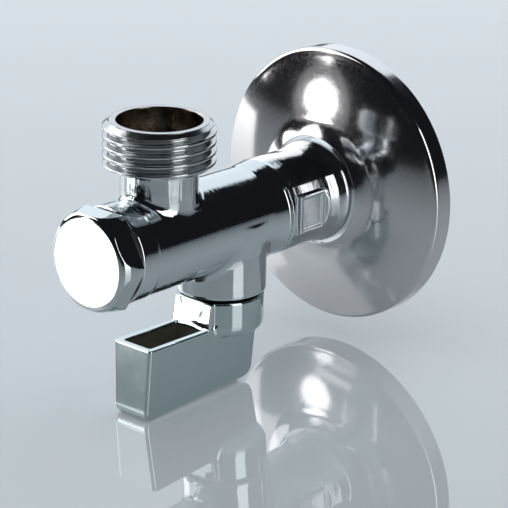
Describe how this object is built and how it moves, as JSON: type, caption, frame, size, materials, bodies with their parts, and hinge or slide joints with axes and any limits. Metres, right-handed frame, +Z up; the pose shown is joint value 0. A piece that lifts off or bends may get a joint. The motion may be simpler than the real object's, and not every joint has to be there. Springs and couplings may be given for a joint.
{
  "type": "angle stop valve",
  "caption": "Chrome quarter-turn angle stop valve: wall inlet, upright threaded outlet, hexagonal strainer plug, lever below and round escutcheon.",
  "frame": {"origin": "on the barrel's axis at the wall's surface, on the inlet thread's first ridge", "axes": "+Y into the wall along the barrel and the inlet thread, +Z up along the outlet"},
  "size_m": [0.0538, 0.082, 0.0602],
  "materials": {
    "chrome_body": "bright chrome plate on brass",
    "plug_chrome": "bright chrome plate, flat face polished",
    "lever_chrome": "chrome plate on a cast lever",
    "rosette_steel": "polished stainless sheet",
    "brass": "machined, unplated",
    "ball_chrome": "hard chrome, polished",
    "ptfe": "white PTFE",
    "seal_rubber": "black rubber",
    "spring_steel": "plain steel",
    "screw_steel": "zinc plated",
    "cover_plastic": "grey plastic",
    "strainer_plastic": "off-white moulded plastic",
    "mesh_steel": "woven stainless mesh"
  },
  "bodies": {
    "valve": {"body": "chrome_body", "inlet_connector": "brass", "connector_oring": "seal_rubber", "front_seat": "ptfe", "rear_seat": "ptfe", "seat_washer": "spring_steel", "thrust_washer": "ptfe", "stop_pin": "spring_steel"},
    "ball": {"ball": "ball_chrome"},
    "handle": {"lever": "lever_chrome", "lever_washer": "spring_steel", "lever_screw": "screw_steel", "screw_cover": "cover_plastic", "stem": "brass", "stem_oring_upper": "seal_rubber", "stem_oring_lower": "seal_rubber"},
    "rosette": {"escutcheon": "rosette_steel"},
    "strainer": {"filter_mesh": "mesh_steel", "filter_front_ring": "strainer_plastic", "filter_rear_ring": "strainer_plastic"},
    "plug": {"filter_cap": "plug_chrome", "cap_oring": "seal_rubber", "cap_gasket": "seal_rubber"}
  },
  "joints": [
    {"name": "lever_turn", "type": "hinge", "parent": "valve", "child": "handle", "pos_m": [0, -0.0347, -0.014], "axis": [0, 0, 1], "range_deg": [0, 90]},
    {"name": "ball_turn", "type": "hinge", "parent": "valve", "child": "ball", "pos_m": [0, -0.0347, 0], "axis": [0, 0, 1], "range_deg": [0, 90]},
    {"name": "rosette_slide", "type": "slide", "parent": "valve", "child": "rosette", "axis": [0, -1, 0], "range_m": [0, 0.012]},
    {"name": "strainer_draw", "type": "slide", "parent": "valve", "child": "strainer", "axis": [0, -1, 0], "range_m": [0, 0.0051]},
    {"name": "plug_turn", "type": "hinge", "parent": "strainer", "child": "plug", "pos_m": [0, -0.065, 0], "axis": [0, -1, 0], "range_deg": [0, 1800]}
  ],
  "couplings": [
    {"joint": "ball_turn", "follows": "lever_turn", "ratio": 1},
    {"joint": "strainer_draw", "follows": "plug_turn", "m_per_rad": 0.00015915}
  ]
}
